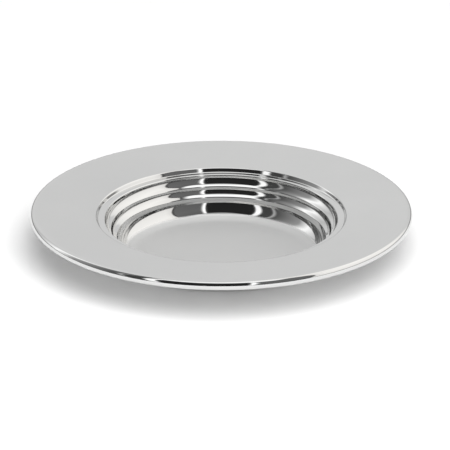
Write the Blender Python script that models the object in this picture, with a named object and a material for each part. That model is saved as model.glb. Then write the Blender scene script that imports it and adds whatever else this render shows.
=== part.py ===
"""Wide-brimmed metal offering plate: spun sheet body, hoop wire in its curled edge, felt base pad.

Metres, +Z up, the plate's axis on the Z axis, the underside of the felt at Z = 0.
"""

import math

import bmesh
import bpy

MM = 0.001

# Overall sizes, in millimetres.
PLATE_DIAMETER = 254.0
SHEET = 0.8
PAD_THICKNESS = 1.2
PAD_RADIUS = 55.0
PAD_EDGE_CHAMFER = 0.3
GLUE_GAP = 0.3

# Rolled edge: a curl of the sheet round a hoop of wire.
BEAD_RADIUS = 3.0
CURL_END_ANGLE = -195.0
CURL_STEPS = 11
WIRE_GAP = 0.3

# Heights are measured from the centre of the rolled edge, upwards.
WELL_DEPTH = 28.85
BRIM_RISE_DEG = 4.5

# Corners of the upper face of the sheet, from the well floor out to the brim:
# (radius, height, rounding radius, steps in the rounding).
WELL_CORNERS = (
    (68.7, -WELL_DEPTH, 12.5, 5),
    (69.3, -15.85, 0.9, 2),
    (73.0, -13.35, 5.0, 3),
    (73.2, -9.75, 0.9, 2),
    (77.0, -7.25, 6.6, 3),
    (77.3, -2.9, 0.9, 3),
    (82.0, -2.85, 0.9, 2),
    (83.1, -0.2, 1.5, 2),
)

SEGMENTS = 64
WIRE_SIDES = 10

# Height of the centre of the rolled edge above the table.
BEAD_CENTRE_Z = PAD_THICKNESS + GLUE_GAP + SHEET + WELL_DEPTH
BEAD_CENTRE_R = PLATE_DIAMETER / 2 - BEAD_RADIUS


def clear_scene():
    for old in list(bpy.data.objects):
        bpy.data.objects.remove(old, do_unlink=True)


def make_material(name, colour, metallic, roughness):
    material = bpy.data.materials.new(name)
    material.use_nodes = True
    shader = material.node_tree.nodes["Principled BSDF"]
    shader.inputs["Base Color"].default_value = (*colour, 1.0)
    shader.inputs["Metallic"].default_value = metallic
    shader.inputs["Roughness"].default_value = roughness
    material.diffuse_color = (*colour, 1.0)
    return material


def heading(a, b):
    return math.atan2(b[1] - a[1], b[0] - a[0])


def brim_start():
    """Upper face of the sheet where the flat brim meets the curl."""
    lean = math.radians(BRIM_RISE_DEG)
    r = BEAD_CENTRE_R - BEAD_RADIUS * math.sin(lean)
    z = BEAD_RADIUS * math.cos(lean)
    return r, z


def corner_samples(before, corner, after):
    """(r, z, heading) along the upper face round one corner."""
    r, z, radius, steps = corner
    h_in = heading(before, corner)
    h_out = heading(corner, after)
    turn = h_out - h_in
    side = 1.0 if turn > 0 else -1.0
    cut = radius * math.tan(abs(turn) / 2)
    start_r = r - cut * math.cos(h_in)
    start_z = z - cut * math.sin(h_in)
    centre_r = start_r - side * radius * math.sin(h_in)
    centre_z = start_z + side * radius * math.cos(h_in)
    samples = []
    for i in range(steps + 1):
        h = h_in + turn * i / steps
        samples.append((centre_r + side * radius * math.sin(h), centre_z - side * radius * math.cos(h), h))
    return samples


def curl_samples():
    """(r, z, heading) along the outside of the rolled edge."""
    start = 90.0 + BRIM_RISE_DEG
    samples = []
    for i in range(CURL_STEPS + 1):
        a = math.radians(start + (CURL_END_ANGLE - start) * i / CURL_STEPS)
        r = BEAD_CENTRE_R + BEAD_RADIUS * math.cos(a)
        z = BEAD_RADIUS * math.sin(a)
        samples.append((r, z, a - math.pi / 2))
    return samples


def sheet_outline():
    """Closed (r, z) outline of the sheet, ending on the axis at both faces."""
    corners = [(0.0, -WELL_DEPTH)] + list(WELL_CORNERS) + [brim_start()]
    samples = [(0.0, -WELL_DEPTH, 0.0)]
    for i in range(1, len(corners) - 1):
        samples += corner_samples(corners[i - 1], corners[i], corners[i + 1])
    samples += curl_samples()
    upper = [(r, z) for r, z, h in samples]
    lower = [(r + SHEET * math.sin(h), z - SHEET * math.cos(h)) for r, z, h in samples]
    return [(r, z + BEAD_CENTRE_Z) for r, z in upper + lower[::-1]]


def revolve(name, outline, closed, material):
    """Turn an (r, z) outline in millimetres about the Z axis into a closed body.

    A closed outline makes a ring; an open one has both its ends on the axis.
    """
    bm = bmesh.new()
    loops = []
    for r, z in outline:
        if r < 1e-9:
            loops.append([bm.verts.new((0.0, 0.0, z * MM))])
            continue
        loop = []
        for s in range(SEGMENTS):
            a = 2 * math.pi * s / SEGMENTS
            loop.append(bm.verts.new((r * MM * math.cos(a), r * MM * math.sin(a), z * MM)))
        loops.append(loop)
    last = len(loops) if closed else len(loops) - 1
    for i in range(last):
        near = loops[i]
        far = loops[(i + 1) % len(loops)]
        for s in range(SEGMENTS):
            t = (s + 1) % SEGMENTS
            if len(near) == 1:
                bm.faces.new((near[0], far[s], far[t]))
            elif len(far) == 1:
                bm.faces.new((near[s], far[0], near[t]))
            else:
                bm.faces.new((near[s], far[s], far[t], near[t]))
    bmesh.ops.recalc_face_normals(bm, faces=bm.faces)
    mesh = bpy.data.meshes.new(name)
    bm.to_mesh(mesh)
    bm.free()
    mesh.materials.append(material)
    mesh.shade_smooth()
    mesh.set_sharp_from_angle(angle=math.radians(35))
    body = bpy.data.objects.new(name, mesh)
    bpy.context.collection.objects.link(body)
    return body


def make_plate_body():
    metal = make_material("polished_metal", (0.60, 0.60, 0.595), 1.0, 0.05)
    return revolve("plate_body", sheet_outline(), False, metal)


def make_rim_wire():
    steel = make_material("hoop_steel", (0.42, 0.42, 0.43), 1.0, 0.4)
    radius = BEAD_RADIUS - SHEET - WIRE_GAP
    outline = []
    for i in range(WIRE_SIDES):
        a = 2 * math.pi * i / WIRE_SIDES
        outline.append((BEAD_CENTRE_R + radius * math.cos(a), BEAD_CENTRE_Z + radius * math.sin(a)))
    return revolve("rim_wire", outline, True, steel)


def make_base_pad():
    felt = make_material("base_felt", (0.035, 0.035, 0.04), 0.0, 0.95)
    outline = [
        (0.0, 0.0),
        (PAD_RADIUS - PAD_EDGE_CHAMFER, 0.0),
        (PAD_RADIUS, PAD_EDGE_CHAMFER),
        (PAD_RADIUS, PAD_THICKNESS - PAD_EDGE_CHAMFER),
        (PAD_RADIUS - PAD_EDGE_CHAMFER, PAD_THICKNESS),
        (0.0, PAD_THICKNESS),
    ]
    return revolve("base_pad", outline, False, felt)


clear_scene()
make_plate_body()
make_rim_wire()
make_base_pad()
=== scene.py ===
"""Looks for the offering plate: a finely turned sheet body, its hoop wire and its felt base pad.

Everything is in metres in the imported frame. The plate's axis is the Z axis and it stands on Z = 0.
"""

import math

import bmesh
import bpy
from mathutils import Matrix, Vector


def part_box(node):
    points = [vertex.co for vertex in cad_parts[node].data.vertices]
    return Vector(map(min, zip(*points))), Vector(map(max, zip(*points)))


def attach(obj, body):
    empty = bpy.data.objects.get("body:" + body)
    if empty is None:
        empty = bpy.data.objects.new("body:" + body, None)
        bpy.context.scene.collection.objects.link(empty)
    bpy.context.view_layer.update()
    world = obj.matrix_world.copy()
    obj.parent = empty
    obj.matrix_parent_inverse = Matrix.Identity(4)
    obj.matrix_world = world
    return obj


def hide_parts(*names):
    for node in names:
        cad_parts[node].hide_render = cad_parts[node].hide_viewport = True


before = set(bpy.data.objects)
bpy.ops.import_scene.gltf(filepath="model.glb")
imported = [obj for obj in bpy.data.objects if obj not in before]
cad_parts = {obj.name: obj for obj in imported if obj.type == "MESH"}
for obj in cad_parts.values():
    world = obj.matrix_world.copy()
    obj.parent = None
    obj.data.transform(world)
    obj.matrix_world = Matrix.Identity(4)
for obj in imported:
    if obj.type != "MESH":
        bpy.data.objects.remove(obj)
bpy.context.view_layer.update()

MM = 0.001

# Sizes that part.py also uses, in millimetres.
SHEET = 0.8
GLUE_GAP = 0.3
BEAD_RADIUS = 3.0
CURL_END_ANGLE = -195.0
WIRE_GAP = 0.3
WELL_DEPTH = 28.85
BRIM_RISE_DEG = 4.5
PAD_RADIUS = 55.0

# Sizes worked out from the frame, in millimetres.
PLATE_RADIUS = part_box("rim_wire")[1][0] / MM + WIRE_GAP + SHEET
PAD_THICKNESS = (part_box("base_pad")[1][2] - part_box("base_pad")[0][2]) / MM
BEAD_CENTRE_R = PLATE_RADIUS - BEAD_RADIUS
BEAD_CENTRE_Z = PAD_THICKNESS + GLUE_GAP + SHEET + WELL_DEPTH

# Corners of the sheet's upper face from the well floor to the brim, heights from the
# centre of the rolled edge: (radius, height, rounding radius).
WELL_CORNERS = (
    (68.7, -WELL_DEPTH, 12.5),
    (69.3, -15.85, 0.9),
    (73.0, -13.35, 5.0),
    (73.2, -9.75, 0.9),
    (77.0, -7.25, 6.6),
    (77.3, -2.9, 0.9),
    (82.0, -2.85, 0.9),
    (83.1, -0.2, 1.5),
)

# Fineness of the turned shapes.
SEGMENTS = 288
ARC_STEP = math.radians(5.0)
FLAT_RINGS = 12
SHARP_ANGLE = math.radians(35)
WIRE_SIDES = 24
PAD_RINGS = 24
PAD_EDGE_RADIUS = 0.35
PAD_EDGE_STEPS = 6

# Satin finish of the well floor: how far out it reaches and fades, in millimetres, and how
# much duller it is than the polished wall.
SATIN_RADIUS = 63.0
SATIN_FADE = 2.0
SATIN_METALLIC = 0.35
SATIN_TONE = 0.8

# Camera: a very long lens, so that the plate is seen almost without perspective.
CAMERA_ELEVATION_DEG = 22.15
CAMERA_DISTANCE = 6.0
VIEW_WIDTH = 0.2990
VIEW_SHIFT_RIGHT = 0.0025
VIEW_SHIFT_DOWN = 0.0073

# Studio: the table's half width, and what mirror reflections, matt surfaces and the camera see.
TABLE_HALF_SIZE = 6.0
STUDIO_GAIN = 2.15
MATT_FILL = (0.5, 0.5, 0.5, 1.0)
BACKGROUND_WHITE = (1.0, 1.0, 1.0, 1.0)

# The cards round the plate by azimuth in degrees, 0 on the camera's side and 90 on +X.
# They face the plate along the line of sight, so the azimuth is told about a leaning axis.
CARD_LEAN_DEG = 22.0
WARM_DIM = (0.52, 0.51, 0.50)
WARM_NEAR = (0.60, 0.59, 0.575)
WARM_FAR = (0.63, 0.62, 0.605)
WARM_END = (0.56, 0.555, 0.545)
CARDS = (
    (-180, 0.42), (-150, 0.43), (-135, 0.34), (-120, 0.5), (-108, 0.72), (-92, 0.2), (-60, 0.05),
    (-56.5, 0.3), (-54.5, 0.035), (-43, 0.035), (-41, 0.7), (-36.5, 0.7), (-35, 0.012), (15.5, 0.012),
    (16.5, 0.8), (19, 0.8), (20, 0.08), (50, 0.09), (51, 0.03), (52, 0.03),
    (53, WARM_DIM), (60, WARM_NEAR), (120, WARM_FAR), (138, WARM_END),
    (142, 0.42), (176, 0.405), (180, 0.42),
)

# By elevation in degrees: where the cards stand, how their brightness changes with height,
# and the dark gap between the table's far edge and the cards.
CARD_REACH = ((-90, 0.0), (-12, 0.0), (-8, 1.0), (70, 1.0), (73, 0.0), (90, 0.0))
CARD_FALL = (
    (-90, 0.7), (0, 0.75), (13, 0.87), (22, 0.92), (31, 0.935), (50, 1.0), (70, 0.85), (90, 0.85),
)
TABLE_GAP = ((-90, 1.0), (-1, 1.0), (0, 0.3), (6, 0.3), (8, 1.0), (90, 1.0))

# The tent over the plate, by angle up from the camera's side, over the top and down behind.
TENT = (
    (-180, 0.42), (-90, 0.42), (0, 0.42), (70, 0.22), (80, 0.22), (84, 0.68), (125, 0.68),
    (140, 0.37), (149, 0.355), (158, 0.38), (168, 0.385), (180, 0.39),
)


# ---------------------------------------------------------------- turned shapes


def heading(a, b):
    return math.atan2(b[1] - a[1], b[0] - a[0])


def brim_start():
    """Upper face of the sheet where the flat brim meets the curl."""
    lean = math.radians(BRIM_RISE_DEG)
    return BEAD_CENTRE_R - BEAD_RADIUS * math.sin(lean), BEAD_RADIUS * math.cos(lean)


def corner_samples(before, corner, after):
    """(r, z, heading) along the upper face round one corner."""
    r, z, radius = corner
    h_in = heading(before, corner)
    turn = heading(corner, after) - h_in
    side = 1.0 if turn > 0 else -1.0
    cut = radius * math.tan(abs(turn) / 2)
    start_r = r - cut * math.cos(h_in)
    start_z = z - cut * math.sin(h_in)
    centre_r = start_r - side * radius * math.sin(h_in)
    centre_z = start_z + side * radius * math.cos(h_in)
    steps = max(2, math.ceil(abs(turn) / ARC_STEP))
    samples = []
    for i in range(steps + 1):
        h = h_in + turn * i / steps
        samples.append((centre_r + side * radius * math.sin(h), centre_z - side * radius * math.cos(h), h))
    return samples


def curl_samples():
    """(r, z, heading) along the outside of the rolled edge."""
    start = math.radians(90.0 + BRIM_RISE_DEG)
    turn = math.radians(CURL_END_ANGLE) - start
    steps = math.ceil(abs(turn) / ARC_STEP)
    samples = []
    for i in range(steps + 1):
        a = start + turn * i / steps
        r = BEAD_CENTRE_R + BEAD_RADIUS * math.cos(a)
        z = BEAD_RADIUS * math.sin(a)
        samples.append((r, z, a - math.pi / 2))
    return samples


def fill_between(a, b, count):
    """(r, z, heading) points that cut the straight from a to b into count pieces."""
    points = []
    for i in range(1, count):
        t = i / count
        points.append((a[0] + (b[0] - a[0]) * t, a[1] + (b[1] - a[1]) * t, b[2]))
    return points


def sheet_outline():
    """Closed (r, z) outline of the sheet, ending on the axis at both faces."""
    corners = [(0.0, -WELL_DEPTH)] + list(WELL_CORNERS) + [brim_start()]
    samples = [(0.0, -WELL_DEPTH, 0.0)]
    for i in range(1, len(corners) - 1):
        arc = corner_samples(corners[i - 1], corners[i], corners[i + 1])
        if i == 1:
            samples += fill_between(samples[-1], arc[0], FLAT_RINGS)
        samples += arc
    curl = curl_samples()
    samples += fill_between(samples[-1], curl[0], FLAT_RINGS)
    samples += curl
    upper = [(r, z) for r, z, h in samples]
    lower = [(r + SHEET * math.sin(h), z - SHEET * math.cos(h)) for r, z, h in samples]
    return [(r, z + BEAD_CENTRE_Z) for r, z in upper + lower[::-1]]


def revolve(name, outline, closed):
    """Turn an (r, z) outline in millimetres about the Z axis into a closed mesh object.

    A closed outline makes a ring; an open one has both its ends on the axis.
    """
    bm = bmesh.new()
    loops = []
    for r, z in outline:
        if r < 1e-9:
            loops.append([bm.verts.new((0.0, 0.0, z * MM))])
            continue
        loop = []
        for s in range(SEGMENTS):
            a = 2 * math.pi * s / SEGMENTS
            loop.append(bm.verts.new((r * MM * math.cos(a), r * MM * math.sin(a), z * MM)))
        loops.append(loop)
    last = len(loops) if closed else len(loops) - 1
    for i in range(last):
        near = loops[i]
        far = loops[(i + 1) % len(loops)]
        for s in range(SEGMENTS):
            t = (s + 1) % SEGMENTS
            if len(near) == 1:
                bm.faces.new((near[0], far[s], far[t]))
            elif len(far) == 1:
                bm.faces.new((near[s], far[0], near[t]))
            else:
                bm.faces.new((near[s], far[s], far[t], near[t]))
    bmesh.ops.recalc_face_normals(bm, faces=bm.faces)
    mesh = bpy.data.meshes.new(name)
    bm.to_mesh(mesh)
    bm.free()
    mesh.shade_smooth()
    mesh.set_sharp_from_angle(angle=SHARP_ANGLE)
    piece = bpy.data.objects.new(name, mesh)
    bpy.context.collection.objects.link(piece)
    return piece


# ---------------------------------------------------------------- materials


class Nodes:
    """A node tree with short ways to add nodes and to link them."""

    def __init__(self, tree):
        self.tree = tree

    def add(self, kind, **values):
        """Add a node. in_N or in_Name sets an input, and any other name sets a property."""
        node = self.tree.nodes.new(kind)
        for key, value in values.items():
            if not key.startswith("in_"):
                setattr(node, key, value)
                continue
            place = key[3:]
            socket = node.inputs[int(place)] if place.isdigit() else node.inputs[place]
            socket.default_value = value
        return node

    def link(self, source, target):
        self.tree.links.new(source, target)

    def two_tone(self, factor, dark, light, dark_at=0.0, light_at=1.0):
        """A colour that goes from dark to light as factor goes from dark_at to light_at."""
        ramp = self.add("ShaderNodeValToRGB")
        low, high = ramp.color_ramp.elements
        low.position = dark_at
        low.color = (*dark, 1)
        high.position = light_at
        high.color = (*light, 1)
        self.link(factor, ramp.inputs[0])
        return ramp.outputs[0]

    def remap(self, source, from_low, from_high, to_low, to_high):
        scale = self.add("ShaderNodeMapRange", in_1=from_low, in_2=from_high, in_3=to_low, in_4=to_high)
        self.link(source, scale.inputs[0])
        return scale.outputs[0]


def new_material(name):
    """A material, its nodes and its Principled shader."""
    material = bpy.data.materials.new(name)
    material.use_nodes = True
    nodes = Nodes(material.node_tree)
    return material, nodes, material.node_tree.nodes["Principled BSDF"]


def polished_metal():
    """Mirror-polished sheet with a satin well floor and faint turning marks."""
    material, nodes, shader = new_material("polished_sheet")
    add = nodes.add
    link = nodes.link
    coords = add("ShaderNodeTexCoord")
    split = add("ShaderNodeSeparateXYZ")
    link(coords.outputs["Object"], split.inputs[0])

    flat = add("ShaderNodeCombineXYZ")
    link(split.outputs["X"], flat.inputs["X"])
    link(split.outputs["Y"], flat.inputs["Y"])
    radius = add("ShaderNodeVectorMath", operation="LENGTH")
    link(flat.outputs[0], radius.inputs[0])

    # Turning marks: noise that changes along the profile but hardly round the plate.
    along = add("ShaderNodeMath", operation="ADD")
    link(radius.outputs["Value"], along.inputs[0])
    link(split.outputs["Z"], along.inputs[1])
    marks = add("ShaderNodeTexNoise", noise_dimensions="1D", in_Scale=1600.0, in_Detail=3.0)
    link(along.outputs[0], marks.inputs["W"])

    # Smears left by polishing and handling.
    smears = add("ShaderNodeTexNoise", in_Scale=26.0, in_Detail=5.0, in_Roughness=0.6)
    link(coords.outputs["Object"], smears.inputs["Vector"])

    # The satin floor ends where the wall begins to rise: 1 on the floor and 0 outside it.
    fade_end = (SATIN_RADIUS + SATIN_FADE) * MM
    floor_mask = nodes.remap(radius.outputs["Value"], SATIN_RADIUS * MM, fade_end, 1.0, 0.0)

    smear_range = (0.25, 0.75)
    polished = nodes.remap(smears.outputs["Fac"], *smear_range, 0.03, 0.075)
    satin = nodes.remap(smears.outputs["Fac"], *smear_range, 0.55, 0.62)
    finish = add("ShaderNodeMix", data_type="FLOAT")
    link(floor_mask, finish.inputs[0])
    link(polished, finish.inputs[2])
    link(satin, finish.inputs[3])
    link(finish.outputs[0], shader.inputs["Roughness"])
    link(nodes.remap(floor_mask, 0.0, 1.0, 1.0, SATIN_METALLIC), shader.inputs["Metallic"])

    tone = nodes.two_tone(smears.outputs["Fac"], (0.662, 0.665, 0.662), (0.712, 0.712, 0.707))
    shaded = add("ShaderNodeVectorMath", operation="SCALE")
    link(tone, shaded.inputs[0])
    link(nodes.remap(floor_mask, 0.0, 1.0, 1.0, SATIN_TONE), shaded.inputs["Scale"])
    link(shaded.outputs[0], shader.inputs["Base Color"])

    waves = add("ShaderNodeTexNoise", in_Scale=9.0, in_Detail=1.0)
    link(coords.outputs["Object"], waves.inputs["Vector"])
    wave_bump = add("ShaderNodeBump", in_Strength=1.0, in_Distance=0.0002)
    link(waves.outputs["Fac"], wave_bump.inputs["Height"])
    mark_bump = add("ShaderNodeBump", in_Strength=1.0, in_Distance=0.0000015)
    link(marks.outputs["Fac"], mark_bump.inputs["Height"])
    link(wave_bump.outputs[0], mark_bump.inputs["Normal"])
    link(mark_bump.outputs[0], shader.inputs["Normal"])
    return material


def drawn_wire():
    """Dull steel wire with a fine grain."""
    material, nodes, shader = new_material("drawn_wire")
    shader.inputs["Metallic"].default_value = 1.0
    coords = nodes.add("ShaderNodeTexCoord")
    grain = nodes.add("ShaderNodeTexNoise", in_Scale=900.0, in_Detail=4.0)
    nodes.link(coords.outputs["Object"], grain.inputs["Vector"])
    tone = nodes.two_tone(grain.outputs["Fac"], (0.33, 0.33, 0.34), (0.47, 0.47, 0.48))
    nodes.link(tone, shader.inputs["Base Color"])
    nodes.link(nodes.remap(grain.outputs["Fac"], 0.0, 1.0, 0.3, 0.5), shader.inputs["Roughness"])
    return material


def wool_felt():
    """Pressed wool felt: matted fibres in a near-black grey."""
    material, nodes, shader = new_material("wool_felt")
    add = nodes.add
    link = nodes.link
    coords = add("ShaderNodeTexCoord")
    fibres = add("ShaderNodeTexNoise", in_Scale=700.0, in_Detail=8.0, in_Roughness=0.7, in_Distortion=1.5)
    link(coords.outputs["Object"], fibres.inputs["Vector"])
    clumps = add("ShaderNodeTexNoise", in_Scale=60.0, in_Detail=3.0)
    link(coords.outputs["Object"], clumps.inputs["Vector"])
    blend = add("ShaderNodeMix", data_type="FLOAT", in_0=0.35)
    link(fibres.outputs["Fac"], blend.inputs[2])
    link(clumps.outputs["Fac"], blend.inputs[3])
    tone = nodes.two_tone(blend.outputs[0], (0.012, 0.012, 0.014), (0.06, 0.06, 0.068), 0.3, 0.7)
    link(tone, shader.inputs["Base Color"])
    shader.inputs["Roughness"].default_value = 0.95
    shader.inputs["Sheen Weight"].default_value = 0.3
    bump = add("ShaderNodeBump", in_Strength=0.8, in_Distance=0.0003)
    link(fibres.outputs["Fac"], bump.inputs["Height"])
    link(bump.outputs[0], shader.inputs["Normal"])
    return material


# ---------------------------------------------------------------- pieces


def make_plate_body():
    body = revolve("plate_body_fine", sheet_outline(), False)
    body.data.materials.append(polished_metal())
    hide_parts("plate_body")
    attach(body, "root")


def make_rim_wire():
    radius = BEAD_RADIUS - SHEET - WIRE_GAP
    outline = []
    for i in range(WIRE_SIDES):
        a = 2 * math.pi * i / WIRE_SIDES
        outline.append((BEAD_CENTRE_R + radius * math.cos(a), BEAD_CENTRE_Z + radius * math.sin(a)))
    wire = revolve("rim_wire_fine", outline, True)
    wire.data.materials.append(drawn_wire())
    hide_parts("rim_wire")
    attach(wire, "root")


def quarter_round(centre_r, centre_z, start_deg):
    """Quarter circle of the pad's edge radius, running anticlockwise from start_deg."""
    points = []
    for i in range(PAD_EDGE_STEPS + 1):
        a = math.radians(start_deg + 90.0 * i / PAD_EDGE_STEPS)
        points.append((centre_r + PAD_EDGE_RADIUS * math.cos(a), centre_z + PAD_EDGE_RADIUS * math.sin(a)))
    return points


def make_base_pad():
    edge_r = PAD_RADIUS - PAD_EDGE_RADIUS
    outline = [(PAD_RADIUS * i / PAD_RINGS, 0.0) for i in range(PAD_RINGS)]
    outline += quarter_round(edge_r, PAD_EDGE_RADIUS, -90.0)
    outline += quarter_round(edge_r, PAD_THICKNESS - PAD_EDGE_RADIUS, 0.0)
    outline.append((0.0, PAD_THICKNESS))
    pad = revolve("base_pad_fine", outline, False)
    pad.data.materials.append(wool_felt())
    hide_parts("base_pad")
    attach(pad, "root")


# ---------------------------------------------------------------- studio


def make_table():
    """The plain white surface under the plate."""
    s = TABLE_HALF_SIZE
    mesh = bpy.data.meshes.new("studio_floor")
    mesh.from_pydata([(-s, -s, 0), (s, -s, 0), (s, s, 0), (-s, s, 0)], [], [(0, 1, 2, 3)])
    table = bpy.data.objects.new("studio_floor", mesh)
    bpy.context.collection.objects.link(table)
    material, _, shader = new_material("studio_white")
    shader.inputs["Base Color"].default_value = (0.9, 0.9, 0.9, 1)
    shader.inputs["Roughness"].default_value = 1.0
    shader.inputs["Specular IOR Level"].default_value = 0.0
    mesh.materials.append(material)


def angle_ramp(nodes, source, stops, limit):
    """A ramp over an angle from -limit to limit degrees, from (angle, grey or colour) stops."""
    scaled = nodes.remap(source, math.radians(-limit), math.radians(limit), 0.0, 1.0)
    ramp = nodes.add("ShaderNodeValToRGB")
    nodes.link(scaled, ramp.inputs[0])
    elements = ramp.color_ramp.elements
    while len(elements) > 1:
        elements.remove(elements[-1])
    for i, (angle, value) in enumerate(stops):
        place = (angle + limit) / (2 * limit)
        element = elements[0] if i == 0 else elements.new(place)
        element.position = place
        element.color = (*value, 1.0) if isinstance(value, tuple) else (value, value, value, 1.0)
    return ramp.outputs[0]


def maths(nodes, operation, *values):
    """One Math node. A value is a number or the output of another node."""
    node = nodes.add("ShaderNodeMath", operation=operation)
    for socket, value in zip(node.inputs, values):
        if isinstance(value, float):
            socket.default_value = value
        else:
            nodes.link(value, socket)
    return node.outputs[0]


def multiply(nodes, a, b):
    node = nodes.add("ShaderNodeVectorMath", operation="MULTIPLY")
    nodes.link(a, node.inputs[0])
    nodes.link(b, node.inputs[1])
    return node.outputs[0]


def mix_colours(nodes, factor, a, b):
    """Colour a where factor is 0 and b where it is 1. b is a constant or a node's output."""
    node = nodes.add("ShaderNodeMix", data_type="RGBA")
    nodes.link(factor, node.inputs["Factor"])
    nodes.link(a, node.inputs[6])
    if isinstance(b, tuple):
        node.inputs[7].default_value = b
    else:
        nodes.link(b, node.inputs[7])
    return node.outputs[2]


def make_world():
    """The studio that the metal mirrors: a pale tent and a ring of cards, set by direction."""
    world = bpy.data.worlds.new("studio")
    bpy.context.scene.world = world
    world.use_nodes = True
    nodes = Nodes(world.node_tree)

    coords = nodes.add("ShaderNodeTexCoord")
    split = nodes.add("ShaderNodeSeparateXYZ")
    nodes.link(coords.outputs["Generated"], split.inputs[0])
    right = split.outputs["X"]
    up = split.outputs["Z"]
    toward = maths(nodes, "MULTIPLY", split.outputs["Y"], -1.0)

    lean = math.radians(CARD_LEAN_DEG)
    rise = maths(nodes, "MULTIPLY", up, math.sin(lean))
    facing = maths(nodes, "MULTIPLY_ADD", toward, math.cos(lean), rise)
    azimuth = maths(nodes, "ARCTAN2", right, facing)
    elevation = maths(nodes, "ARCSINE", up)
    over = maths(nodes, "ARCTAN2", up, toward)

    cards = angle_ramp(nodes, azimuth, CARDS, 180)
    cards = multiply(nodes, cards, angle_ramp(nodes, elevation, CARD_FALL, 90))
    tent = angle_ramp(nodes, over, TENT, 180)
    walls = mix_colours(nodes, angle_ramp(nodes, elevation, CARD_REACH, 90), tent, cards)
    gapped = multiply(nodes, walls, angle_ramp(nodes, elevation, TABLE_GAP, 90))
    lit = nodes.add("ShaderNodeVectorMath", operation="SCALE", in_Scale=STUDIO_GAIN)
    nodes.link(gapped, lit.inputs[0])

    # Mirror reflections see the studio, matt surfaces an even fill, and the camera plain white.
    path = nodes.add("ShaderNodeLightPath")
    filled = mix_colours(nodes, path.outputs["Is Diffuse Ray"], lit.outputs[0], MATT_FILL)
    seen = mix_colours(nodes, path.outputs["Is Camera Ray"], filled, BACKGROUND_WHITE)
    nodes.link(seen, world.node_tree.nodes["Background"].inputs["Color"])


def make_lamp(name, place, size, power):
    """A disc lamp aimed at the plate that lights it without showing in the metal."""
    data = bpy.data.lights.new(name, "AREA")
    data.shape = "DISK"
    data.size = size
    data.energy = power
    lamp = bpy.data.objects.new(name, data)
    lamp.location = place
    lamp.rotation_euler = (-lamp.location).to_track_quat("-Z", "Y").to_euler()
    lamp.visible_glossy = False
    lamp.visible_camera = False
    bpy.context.collection.objects.link(lamp)


def make_camera():
    elevation = math.radians(CAMERA_ELEVATION_DEG)
    data = bpy.data.cameras.new("camera")
    data.sensor_width = 36.0
    data.lens = data.sensor_width * CAMERA_DISTANCE / VIEW_WIDTH
    data.clip_end = 50.0
    camera = bpy.data.objects.new("camera", data)
    bpy.context.collection.objects.link(camera)
    back = Vector((0.0, -math.cos(elevation), math.sin(elevation)))
    right = Vector((1.0, 0.0, 0.0))
    up = back.cross(right)
    aim = Vector((0.0, 0.0, BEAD_CENTRE_Z * MM)) + right * VIEW_SHIFT_RIGHT - up * VIEW_SHIFT_DOWN
    turn = Matrix((right, up, back)).transposed().to_4x4()
    camera.matrix_world = Matrix.Translation(aim + back * CAMERA_DISTANCE) @ turn
    bpy.context.scene.camera = camera


make_plate_body()
make_rim_wire()
make_base_pad()
make_table()
make_world()
make_lamp("key", place=(0.6, -3.0, 3.2), size=3.1, power=196.0)
make_lamp("low_fill", place=(0.0, -4.4, 0.9), size=2.0, power=92.0)
make_camera()

bpy.context.scene.view_settings.view_transform = "Standard"
